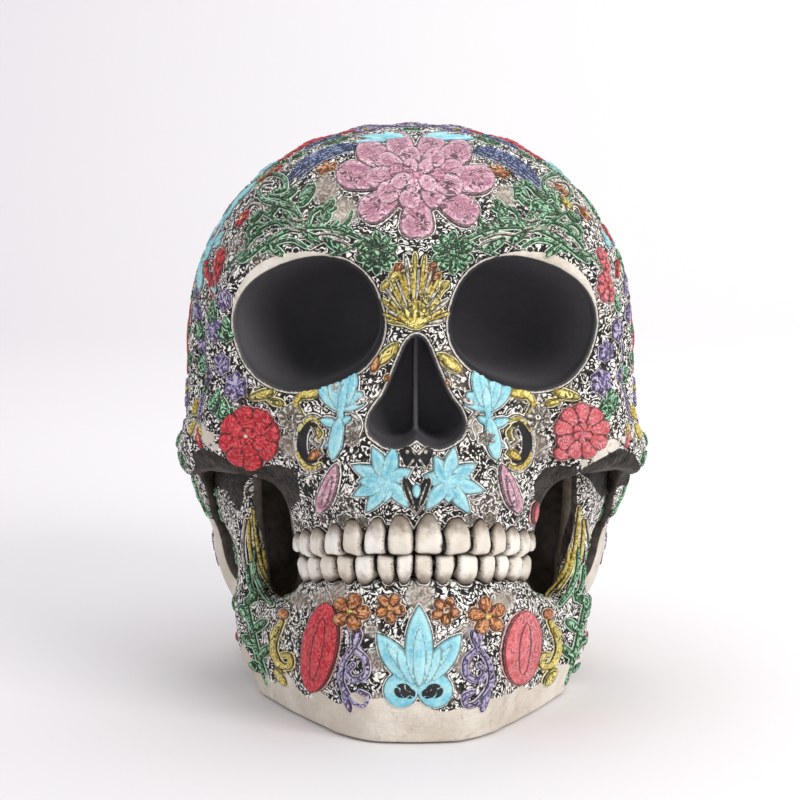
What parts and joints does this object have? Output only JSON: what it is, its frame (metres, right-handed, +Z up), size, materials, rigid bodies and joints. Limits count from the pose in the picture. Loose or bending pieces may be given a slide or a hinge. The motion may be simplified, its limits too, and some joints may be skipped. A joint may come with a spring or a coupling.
{
  "type": "resin skull ornament",
  "caption": "Life-like skull ornament cast in resin, with blind eye sockets, a closed toothed jaw and painted floral relief all over, resting on felt pads.",
  "frame": {"origin": "middle of the footprint on the table plane, under the bounding box centre", "axes": "+Z up, the face looks along -Y, X = 0 is the plane of symmetry with the skull's own left side at +X"},
  "size_m": [0.142, 0.1806, 0.1702],
  "materials": {
    "painted_resin": "hand-painted casting resin, ivory ground with a dark wash in the engraving and satin coloured relief",
    "plug_rubber": "moulded black rubber",
    "dowel_wood": "plain beech dowel, hidden in the joint",
    "felt": "self-adhesive felt"
  },
  "bodies": {
    "root": {"cranium_shell": "painted_resin", "mandible": "painted_resin", "pour_hole_plug": "plug_rubber", "jaw_dowel_left": "dowel_wood", "jaw_dowel_right": "dowel_wood", "felt_pad_front_left": "felt", "felt_pad_front_right": "felt", "felt_pad_rear_left": "felt", "felt_pad_rear_right": "felt"}
  },
  "joints": []
}
